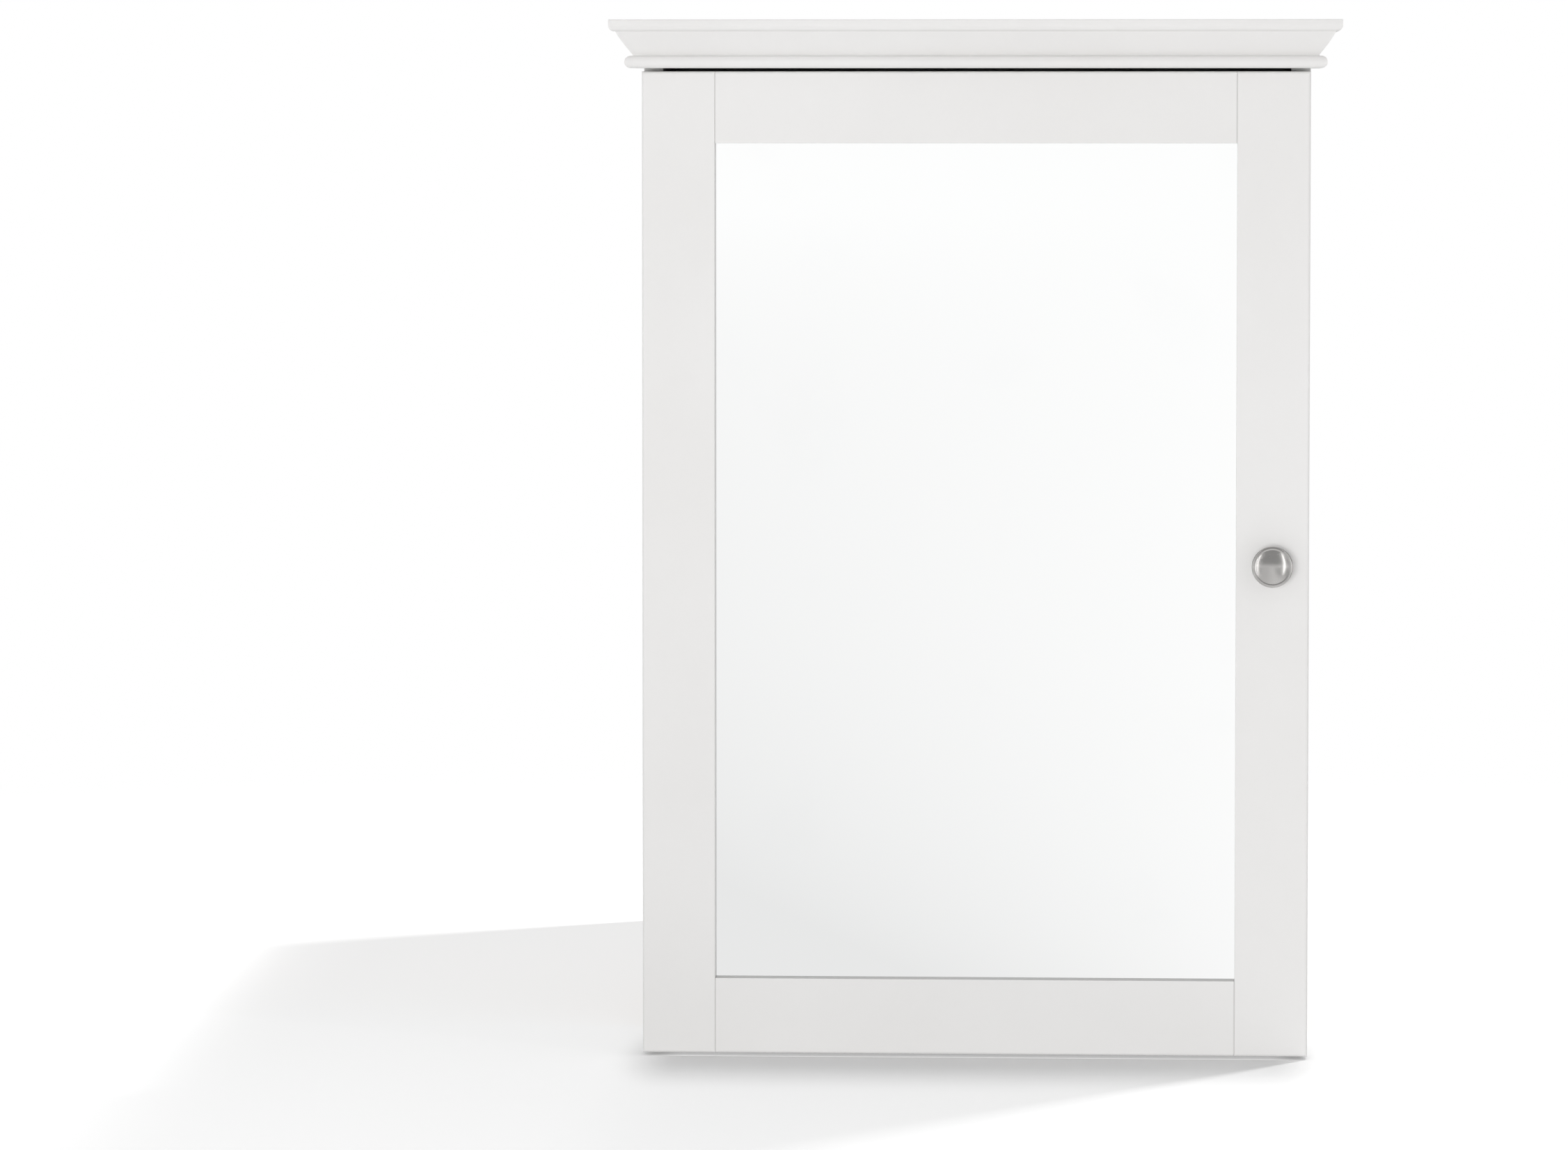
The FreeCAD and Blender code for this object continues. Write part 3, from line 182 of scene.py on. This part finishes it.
lacquer = {"full": rgb(0.846, 0.839, 0.831), "thin": rgb(0.822, 0.813, 0.803), "filmScale": 5.0,
           "peelScale": 360.0, "peelShare": 0.8, "gritScale": 1900.0, "gritShare": 0.2, "peelDepth": 0.00003,
           "roughness": 0.36, "filmDull": 0.12, "peelDull": 0.06,
           "rubShine": 0.07, "rubReach": (0.022, 0.055),
           "jointPaintedShade": rgb(0.66, 0.65, 0.64), "jointOuter": 0.0010, "jointInner": 0.0004}


def satinLacquer(name, jointAt):
    finish = Finish(name)
    film = finish.noise(lacquer["filmScale"], 3)  # how thick the spray lies
    peel = finish.noise(lacquer["peelScale"], 2)  # orange peel
    grit = finish.noise(lacquer["gritScale"], 1)
    rubbed = 1 - finish.fade(finish.fromKnob(), *lacquer["rubReach"])  # hands polish it here
    # painted shade: a darker hairline where rail and stile meet, for the shade in the joint's groove
    jointGrooveShade = finish.fade(abs(finish.x), jointAt - lacquer["jointOuter"], jointAt - lacquer["jointInner"])
    colour = finish.clouds(film, lacquer["thin"], lacquer["full"])
    dull = lacquer["filmDull"] * (film - 0.5) + lacquer["peelDull"] * (peel - 0.5)
    height = lacquer["peelShare"] * peel + lacquer["gritShare"] * grit
    return finish.coat(Base_Color=finish.blend(jointGrooveShade, colour, lacquer["jointPaintedShade"]),
                       Roughness=lacquer["roughness"] + dull - lacquer["rubShine"] * rubbed,
                       Normal=finish.relief(height, lacquer["peelDepth"]))


# Melamine boards of the carcass, with bare chipboard at the rear edges

melamine = {"full": rgb(0.82, 0.815, 0.805), "dull": rgb(0.795, 0.79, 0.78), "toneScale": 4.0,
            "pearlScale": 1300.0, "pearlDull": 0.08, "pearlDepth": 0.00004, "roughness": 0.42,
            "rearEdge": -0.0004, "chip": rgb(0.58, 0.43, 0.27), "chipDark": rgb(0.40, 0.28, 0.165),
            "chipScale": 620.0, "chipStretch": (1, 1, 0.6), "chipTones": (0.38, 0.62), "chipDull": 0.42,
            "chipLift": 4}


def melamineBoard():
    finish = Finish("melamineBoard")
    tone = finish.noise(melamine["toneScale"], 2)
    pearl = finish.noise(melamine["pearlScale"], 1)
    chips = finish.noise(melamine["chipScale"], 4, melamine["chipStretch"])
    bare = finish.y > melamine["rearEdge"]
    foil = finish.clouds(tone, melamine["dull"], melamine["full"])
    core = finish.blend(finish.fade(chips, *melamine["chipTones"]), melamine["chipDark"], melamine["chip"])
    dull = melamine["pearlDull"] * (pearl - 0.5) + melamine["chipDull"] * bare
    height = pearl + melamine["chipLift"] * bare * chips
    return finish.coat(Base_Color=finish.blend(bare, foil, core),
                       Roughness=melamine["roughness"] + dull,
                       Normal=finish.relief(height, melamine["pearlDepth"]))


# Hardboard: the mirror's backing, and the cabinet's back, which has a white foil towards the shelves

fibre = {"light": rgb(0.345, 0.215, 0.12), "dark": rgb(0.255, 0.152, 0.082), "tones": (0.32, 0.68),
         "fuzzScale": 850.0, "fuzzStretch": (1, 1, 0.35), "fuzzTone": 0.75,
         "cloudScale": 14.0, "cloudTone": 0.25,
         "meshPitch": 0.0018, "meshShare": 0.4, "fuzzShare": 0.6, "depth": 0.00012,
         "roughness": 0.74, "fuzzDull": 0.2, "foilFace": -0.0155, "foilDull": 0.32, "foilPearl": 0.3}


def fibreLook(finish):
    fuzz = finish.noise(fibre["fuzzScale"], 5, fibre["fuzzStretch"])
    cloud = finish.noise(fibre["cloudScale"], 3)
    screen = finish.waves(finish.x, fibre["meshPitch"]) * finish.waves(finish.z, fibre["meshPitch"])
    tone = finish.fade(fibre["fuzzTone"] * fuzz + fibre["cloudTone"] * cloud, *fibre["tones"])
    colour = finish.blend(tone, fibre["dark"], fibre["light"])
    return colour, fibre["fuzzDull"] * (fuzz - 0.5), fibre["fuzzShare"] * fuzz + fibre["meshShare"] * screen


def hardboard():
    finish = Finish("hardboard")
    colour, dull, height = fibreLook(finish)
    return finish.coat(Base_Color=colour, Roughness=fibre["roughness"] + dull,
                       Normal=finish.relief(height, fibre["depth"]))


def facedHardboard():
    finish = Finish("facedHardboard")
    colour, dull, height = fibreLook(finish)
    bare = finish.y > fibre["foilFace"]
    pearl = finish.noise(melamine["pearlScale"], 1)
    foil = finish.blend(finish.noise(melamine["toneScale"], 2), melamine["dull"], melamine["full"])
    return finish.coat(Base_Color=finish.blend(bare, foil, colour),
                       Roughness=melamine["roughness"] + bare * (fibre["foilDull"] + dull),
                       Normal=finish.relief(bare * height + fibre["foilPearl"] * pearl, fibre["depth"]))


# Bare beech of the rails, battens and dowels

beech = {"pale": rgb(0.70, 0.52, 0.34), "warm": rgb(0.55, 0.36, 0.20), "fleck": rgb(0.36, 0.21, 0.11),
         "bandScale": 7.0, "bandStretch": (0.5, 9, 9), "poreScale": 60.0, "poreStretch": (0.5, 12, 12),
         "fleckScale": 40.0, "fleckStretch": (2.2, 16, 16), "fleckTones": (0.62, 0.70), "fleckShare": 0.65,
         "roughness": 0.6, "poreDull": 0.2, "fleckSink": 0.5, "grainDepth": 0.00008}


def bareBeech():
    finish = Finish("bareBeech")
    bands = finish.noise(beech["bandScale"], 3, beech["bandStretch"])
    pores = finish.noise(beech["poreScale"], 2, beech["poreStretch"])
    flecks = finish.fade(finish.noise(beech["fleckScale"], 1, beech["fleckStretch"]), *beech["fleckTones"])
    wood = finish.clouds(bands, beech["pale"], beech["warm"])
    return finish.coat(Base_Color=finish.blend(beech["fleckShare"] * flecks, wood, beech["fleck"]),
                       Roughness=beech["roughness"] + beech["poreDull"] * (pores - 0.5),
                       Normal=finish.relief(pores - beech["fleckSink"] * flecks, beech["grainDepth"]))


# Metals: plated steel, cast zinc and the knob's turned nickel

nickelPlate = {"bright": rgb(0.66, 0.64, 0.61), "dull": rgb(0.56, 0.54, 0.51), "cloudScale": 60.0,
               "roughness": 0.27, "grainDull": 0.14, "cloudDull": 0.07,
               "grainScale": 700.0, "grainStretch": (1, 1, 0.05), "grainDepth": 0.000004}
castZinc = {"bright": rgb(0.60, 0.60, 0.60), "dull": rgb(0.47, 0.47, 0.48), "cloudScale": 60.0,
            "roughness": 0.40, "grainDull": 0.18, "cloudDull": 0.09,
            "grainScale": 1300.0, "grainStretch": (1, 1, 1), "grainDepth": 0.00002}
knobNickel = {"dull": rgb(0.478, 0.468, 0.455), "bright": rgb(0.532, 0.521, 0.507), "cloudScale": 90.0,
              "filmScale": 420.0, "roughness": 0.26, "cloudDull": 0.08, "filmDull": 0.05,
              "coat": 0.9, "filmCoat": 0.1, "coatRoughness": 0.06,
              "ringPitch": 0.00035, "ringDepth": 0.0000012}


def metal(name, look):
    finish = Finish(name, metallic=1.0)
    cloud = finish.noise(look["cloudScale"], 3)
    grain = finish.noise(look["grainScale"], 2, look["grainStretch"])
    dull = look["grainDull"] * (grain - 0.5) + look["cloudDull"] * (cloud - 0.5)
    return finish.coat(Base_Color=finish.clouds(cloud, look["dull"], look["bright"]),
                       Roughness=look["roughness"] + dull,
                       Normal=finish.relief(grain, look["grainDepth"]))


def turnedNickel():
    finish = Finish("turnedNickel", metallic=1.0)
    rings = finish.waves(finish.fromKnob(), knobNickel["ringPitch"])  # left by the lathe
    cloud = finish.noise(knobNickel["cloudScale"], 3)
    film = finish.noise(knobNickel["filmScale"], 2)
    dull = knobNickel["cloudDull"] * (cloud - 0.5) + knobNickel["filmDull"] * (film - 0.5)
    return finish.coat(Base_Color=finish.blend(cloud, knobNickel["dull"], knobNickel["bright"]),
                       Roughness=knobNickel["roughness"] + dull,
                       Coat_Weight=knobNickel["coat"] + knobNickel["filmCoat"] * film,
                       Coat_Roughness=knobNickel["coatRoughness"],
                       Normal=finish.relief(rings, knobNickel["ringDepth"]))


# Silvered glass

silver = {"clear": rgb(0.985, 0.99, 0.988), "hazy": rgb(0.974, 0.98, 0.978), "hazeScale": 11.0,
          "hazeTones": (0.55, 0.8), "roughness": 0.006, "hazeDull": 0.014}


def silveredGlass():
    finish = Finish("silveredGlass", metallic=1.0)
    haze = finish.fade(finish.noise(silver["hazeScale"], 4), *silver["hazeTones"])  # faint wiping marks
    return finish.coat(Base_Color=finish.blend(haze, silver["clear"], silver["hazy"]),
                       Roughness=silver["roughness"] + silver["hazeDull"] * haze)


# The catch and the bumpers: moulded plastic, ferrite and clear rubber

plastic = {"dull": rgb(0.80, 0.80, 0.785), "full": rgb(0.84, 0.84, 0.83), "toneScale": 40.0,
           "sparkScale": 2400.0, "sparkDepth": 0.00004, "roughness": 0.46, "sparkDull": 0.12}
ferrite = {"dark": rgb(0.045, 0.045, 0.05), "light": rgb(0.11, 0.11, 0.115), "grainScale": 900.0,
           "grainDepth": 0.00006, "roughness": 0.62, "grainDull": 0.2}
rubber = {"dull": rgb(0.86, 0.87, 0.86), "clear": rgb(0.93, 0.94, 0.93), "cloudScale": 260.0,
          "roughness": 0.22, "cloudDull": 0.15, "passes": 0.65, "bends": 1.48}


def catchPlastic():
    finish = Finish("catchPlastic")
    spark = finish.noise(plastic["sparkScale"], 1)  # spark-eroded mould
    tone = finish.noise(plastic["toneScale"], 2)
    return finish.coat(Base_Color=finish.blend(tone, plastic["dull"], plastic["full"]),
                       Roughness=plastic["roughness"] + plastic["sparkDull"] * (spark - 0.5),
                       Normal=finish.relief(spark, plastic["sparkDepth"]))


def ferriteBlock():
    finish = Finish("ferriteBlock")
    grain = finish.noise(ferrite["grainScale"], 4)
    return finish.coat(Base_Color=finish.blend(grain, ferrite["dark"], ferrite["light"]),
                       Roughness=ferrite["roughness"] + ferrite["grainDull"] * (grain - 0.5),
                       Normal=finish.relief(grain, ferrite["grainDepth"]))


def clearRubber():
    finish = Finish("clearRubber")
    cloud = finish.noise(rubber["cloudScale"], 2)
    return finish.coat(Base_Color=finish.blend(cloud, rubber["dull"], rubber["clear"]),
                       Roughness=rubber["roughness"] + rubber["cloudDull"] * (cloud - 0.5),
                       Transmission_Weight=rubber["passes"], IOR=rubber["bends"])


wear(satinLacquer("railLacquer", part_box("right_stile")[0].x), "top_rail", "bottom_rail")
wear(satinLacquer("satinLacquer", 1.0),  # no joint as far out as that
     "left_stile", "right_stile", "crown_front", "crown_left_return", "crown_right_return", "top_cap",
     "left_backing_bead", "right_backing_bead", "top_backing_bead", "bottom_backing_bead")
wear(melamineBoard(), "left_side_panel", "right_side_panel", "top_panel", "bottom_panel",
     "upper_shelf", "lower_shelf")
wear(facedHardboard(), "back_panel")
wear(hardboard(), "mirror_backing")
wear(bareBeech(), "upper_hanging_rail", "lower_hanging_rail", "front_cap_batten", "rear_cap_batten",
     "assembly_dowels")
wear(silveredGlass(), "mirror_glass")
wear(metal("nickelPlate", nickelPlate), "shelf_pins", "cam_bolts", "upper_hinge_arm", "lower_hinge_arm",
     "upper_hinge_plate", "lower_hinge_plate", "hinge_plate_screws", "hinge_arm_screws", "hinge_cup_screws",
     "upper_hinge_pin", "lower_hinge_pin", "catch_poles", "catch_screws", "strike_plate", "strike_screws",
     "knob_screw")
wear(metal("castZinc", castZinc), "cam_locks", "upper_hinge_cup", "lower_hinge_cup")
wear(catchPlastic(), "catch_housing")
wear(ferriteBlock(), "catch_magnet")
wear(clearRubber(), "door_bumpers")
print("finishes on", len(cad), "nodes")


# Knob: a turned profile, spun about its own axis

def turnKnob():
    mesh = bmesh.new()

    def at(radius, out):
        return Vector((knob["x"] + radius, doorFace - out, knob["z"]))

    def line(tip, radius, out):
        tip = bmesh.ops.extrude_vert_indiv(mesh, verts=[tip])["verts"][0]
        tip.co = at(radius, out)
        return tip

    def arc(tip, radius, out, degrees):
        swept = bmesh.ops.spin(mesh, geom=[tip], cent=at(radius, out), axis=(0, 0, 1),
                               angle=math.radians(degrees), steps=knob["arcSteps"])
        return next(part for part in swept["geom_last"] if isinstance(part, bmesh.types.BMVert))

    rimFront = knob["rimBack"] + knob["rimSide"] + knob["rimRound"]
    grooveRadius = knob["rimRadius"] - knob["rimRound"] - knob["grooveWidth"]
    grooveFloor = rimFront - knob["grooveDepth"]
    domeRadius = (grooveRadius ** 2 + knob["domeRise"] ** 2) / (2 * knob["domeRise"])
    domeAngle = math.degrees(math.asin(grooveRadius / domeRadius))

    tip = mesh.verts.new(at(0, 0))
    tip = line(tip, knob["footRadius"], 0)
    tip = line(tip, knob["footRadius"], knob["footThick"])
    tip = line(tip, knob["neckRadius"], knob["neckStart"])
    tip = line(tip, knob["neckRadius"], knob["neckEnd"])
    tip = arc(tip, *knob["flareCentre"], knob["flareAngle"])
    tip = line(tip, knob["rimRadius"], knob["rimBack"])
    tip = line(tip, knob["rimRadius"], knob["rimBack"] + knob["rimSide"])
    tip = arc(tip, knob["rimRadius"] - knob["rimRound"], knob["rimBack"] + knob["rimSide"], -90)
    tip = line(tip, grooveRadius, grooveFloor)
    arc(tip, 0, grooveFloor + knob["domeRise"] - domeRadius, -domeAngle)

    profile = mesh.verts[:] + mesh.edges[:]
    bmesh.ops.spin(mesh, geom=profile, cent=at(0, 0), axis=(0, 1, 0), angle=2 * math.pi,
                   steps=knob["turns"], use_merge=True)
    bmesh.ops.remove_doubles(mesh, verts=mesh.verts[:], dist=knob["mergeWithin"])
    bmesh.ops.recalc_face_normals(mesh, faces=mesh.faces[:])
    return mesh


def settle(mesh, name, finish, crease=40):  # a finished piece, smooth but for edges sharper than crease
    for face in mesh.faces:
        face.smooth = True
    for edge in mesh.edges:
        edge.smooth = len(edge.link_faces) == 2 and edge.calc_face_angle(0) < math.radians(crease)
    data = bpy.data.meshes.new(name)
    mesh.to_mesh(data)
    mesh.free()
    data.materials.append(finish.owner)
    piece = bpy.data.objects.new(name, data)
    scene.collection.objects.link(piece)
    return piece


turnedKnob = settle(turnKnob(), "turnedKnob", turnedNickel())
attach(turnedKnob, "door")
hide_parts("knob")
print("knob:", len(turnedKnob.data.polygons), "faces")


# Floor: white around the cabinet, with the lamps' shadow left to show, a painted contact shadow at the door's
# foot, and painted light on the shadow's far left and in the gap under the door

floor = {"level": cadBox[0].z, "half": 60.0, "colour": rgb(0.8, 0.8, 0.8), "whiteBeyond": (1.0, 2.4),
         "glow": 0.385, "contactHalf": 0.225, "contactLine": -0.165, "contactEnds": 4.0, "contactReach": 0.23,
         "paleGlow": 0.16, "paleFrom": (-0.54, -0.76), "sideGlow": 0.035, "sideFrom": (-0.2, -0.3),
         "underGlow": 0.36, "underEnds": 0.12, "underFrom": (-0.1745, -0.1735)}

# What metal and mirror see of it: a little grey, in sectors about a point behind the cabinet
mirrored = {"aboutX": 0.3, "aboutY": 0.6, "dip": 0.185, "dipRise": 0.273, "dipEase": (0.4, 0.68),
            "dipRight": (0.0, -0.68), "dipRest": 0.35, "dipEnd": (6.0, 45.0),
            "patch": 0.36, "patchStart": (0.5, 1.2), "patchEnd": (2.5, 9.0), "patchRight": (0.02, -0.2),
            "patchBack": (0.8, 1.5), "patchLoss": 0.6}


def cameraGlow(finish):
    aside = finish.node("Math", {"operation": "MAXIMUM"}, {0: abs(finish.x) - floor["contactHalf"], 1: 0.0})
    aside = floor["contactEnds"] * aside
    ahead = finish.y - floor["contactLine"]
    reach = finish.node("Math", {"operation": "SQRT"}, {0: aside * aside + ahead * ahead})
    clear = finish.fade(reach, 0.0, floor["contactReach"])  # painted contact shadow: the glow is left out in front of the door's foot, so the floor stays darker there
    # painted light: two more glows brighten the floor towards the left, lightening the lamp's shadow there
    # and fading its far end to white
    pale = finish.fade(finish.x, *floor["paleFrom"])
    side = finish.fade(finish.x, *floor["sideFrom"])
    # painted light in the gap under the door: glow on the floor behind the door's front, so the gap is less
    # dark
    under = (1 - finish.fade(aside, 0.0, floor["underEnds"])) * finish.fade(finish.y, *floor["underFrom"])
    glow = floor["glow"] * clear + floor["paleGlow"] * pale + floor["sideGlow"] * side
    return glow + floor["underGlow"] * under


def mirroredGrey(finish, away):
    lean = finish.node("Math", {"operation": "ARCTAN2"},
                       {0: mirrored["aboutX"] - finish.x, 1: mirrored["aboutY"] - finish.y})
    rise = finish.node("MapRange", {}, {"Value": lean, "From Max": mirrored["dipRise"]})
    left = finish.fade(lean, *mirrored["dipEase"])
    right = finish.fade(lean, *mirrored["dipRight"])
    shade = rise * (1 - (1 - mirrored["dipRest"]) * left) + mirrored["dipRest"] * right
    dip = mirrored["dip"] * shade * (1 - finish.fade(away, *mirrored["dipEnd"]))
    band = finish.fade(away, *mirrored["patchStart"]) * (1 - finish.fade(away, *mirrored["patchEnd"]))
    sides = left + finish.fade(lean, *mirrored["patchRight"])
    back = finish.fade(abs(lean), *mirrored["patchBack"])
    return dip + mirrored["patch"] * band * sides * (1 - mirrored["patchLoss"] * back)


def floorFinish():
    finish = Finish("studioFloor")
    camera = finish.rays("Camera")
    glossy = finish.rays("Glossy")
    away = finish.node("VectorMath", {"operation": "LENGTH"}, {0: finish.spot}, "Value")
    finish.coat(Base_Color=floor["colour"], Roughness=1.0, Specular_IOR_Level=0.0, Emission_Strength=1.0,
                Emission_Color=finish.blend(camera * cameraGlow(finish), black, white))
    bright = finish.node("Emission", {}, {"Color": white})
    dark = finish.node("Emission", {}, {"Color": black})
    sheet = finish.node("MixShader", {}, {0: glossy * mirroredGrey(finish, away), 1: bright, 2: dark})
    far = camera * finish.fade(away, *floor["whiteBeyond"])  # white well before the horizon
    plain = glossy + finish.rays("Transmission") + far
    finish.feed(finish.tree.nodes["Material Output"].inputs["Surface"],
                finish.node("MixShader", {}, {0: plain, 1: Wire(finish, finish.shader.outputs[0]), 2: sheet}))
    return finish


def layFloor(finish):
    mesh = bmesh.new()
    bmesh.ops.create_grid(mesh, x_segments=1, y_segments=1, size=floor["half"])
    bmesh.ops.translate(mesh, verts=mesh.verts[:], vec=(0, 0, floor["level"]))
    settle(mesh, "studioFloor", finish)


# Flag behind the cabinet: it widens the shadow that the high lamp throws to the left

flag = {"near": (-0.15, 0.1), "nearTop": 0.4, "far": (-0.33, 0.8), "farTop": 0.115}


def standFlag(finish):
    mesh = bmesh.new()
    corners = [(*flag["near"], floor["level"]), (*flag["far"], floor["level"]),
               (*flag["far"], flag["farTop"]), (*flag["near"], flag["nearTop"])]
    mesh.faces.new([mesh.verts.new(corner) for corner in corners])
    card = settle(mesh, "studioFlag", finish)
    card.visible_camera = False
    card.visible_glossy = False
    card.visible_diffuse = False


floorCoat = floorFinish()
layFloor(floorCoat)
standFlag(floorCoat)
print("floor at", round(floor["level"], 4))


# Sky: white to the camera, darker overhead in metal, and a plain fill on everything else

sky = {"fill": 0.5, "dark": 0.43, "darkFrom": (-0.01, 0.22)}


def lightSky():
    scene.world = bpy.data.worlds.new("studioSky")
    nodes = Board(scene.world)
    height = nodes.node("SeparateXYZ", {}, {0: nodes.node("TexCoord", {}, {}, "Generated")}, 2)
    dusk = nodes.fade(height, *sky["darkFrom"])
    gleam = nodes.rays("Glossy") * (1 - (1 - sky["dark"]) * dusk)
    seen = nodes.rays("Camera") + nodes.rays("Transmission") + gleam
    amount = seen + nodes.rays("Diffuse") * sky["fill"]
    backdrop = nodes.tree.nodes["Background"]
    nodes.feed(backdrop.inputs["Color"], nodes.blend(amount, black, white))
    nodes.feed(backdrop.inputs["Strength"], 1.0)


lightSky()
print("sky fill", sky["fill"])


# Lamps: a soft box by the camera, one high behind the cabinet, two tall strips that fill the sides,
# and two slim ones that lean in and gleam on the knob alone

lamps = {
    "softBox": {"place": (-0.22, -3.2, -0.02), "aim": 0.0, "wide": 1.2, "tall": 0.7, "power": 33.4,
                "fills": True, "gleams": False},
    "backBox": {"place": (1.874, 2.278, 3.6), "aim": 0.0, "wide": 0.4, "tall": 0.4, "power": 88.0,
                "fills": True, "gleams": True},
    "leftStrip": {"place": (-1.28, -0.74, 0.9), "aim": 0.9, "wide": 0.06, "tall": 2.5, "power": 3.0,
                  "fills": True, "gleams": False},
    "rightStrip": {"place": (1.36, -1.32, 0.9), "aim": 0.9, "wide": 0.05, "tall": 2.5, "power": 2.5,
                   "fills": True, "gleams": False},
    "leftGleam": {"place": (-0.71, -0.764, 0.885), "aim": 1.25, "wide": 0.06, "tall": 2.72, "power": 2.2,
                  "fills": False, "gleams": True},
    "rightGleam": {"place": (1.087, -0.876, 0.885), "aim": 1.396, "wide": 0.08, "tall": 2.72, "power": 3.0,
                   "fills": False, "gleams": True},
}


knobOnly = bpy.data.collections.new("knobOnly")
knobOnly.objects.link(turnedKnob)


def hang(name, lamp):
    made = bpy.data.objects.new(name, bpy.data.lights.new(name, "AREA"))
    made.location = lamp["place"]
    towards = Vector((0, doorFace, lamp["aim"])) - made.location
    made.rotation_euler = towards.to_track_quat("-Z", "Y").to_euler()
    made.visible_camera = False
    made.visible_diffuse = lamp["fills"]
    made.visible_glossy = lamp["gleams"]
    made.data.shape = "RECTANGLE" if lamp["fills"] else "ELLIPSE"
    made.data.size = lamp["wide"]
    made.data.size_y = lamp["tall"]
    made.data.energy = lamp["power"]
    if not lamp["fills"]:
        made.light_linking.receiver_collection = knobOnly
    scene.collection.objects.link(made)


for name, lamp in lamps.items():
    hang(name, lamp)
print("lamps:", len(lamps))


# Camera, level with the cornice and a long way off

shot = {"side": 0.2, "distance": 6.0, "eye": 0.36, "yaw": 3.3076, "pitch": 3.5782,
        "focal": 11253.8, "frameWide": 2253, "sensor": 36.0, "clip": (0.05, 300.0)}  # focal in pixels
lens = bpy.data.cameras.new("photoCamera")
lens.sensor_width = shot["sensor"]
lens.lens = shot["focal"] * shot["sensor"] / shot["frameWide"]
lens.clip_start, lens.clip_end = shot["clip"]
camera = bpy.data.objects.new("photoCamera", lens)
camera.location = (shot["side"], doorFace - shot["distance"], shot["eye"])
camera.rotation_euler = (math.radians(90 - shot["pitch"]), 0, math.radians(shot["yaw"]))
scene.collection.objects.link(camera)
scene.camera = camera
print("camera:", round(lens.lens, 1), "mm lens")
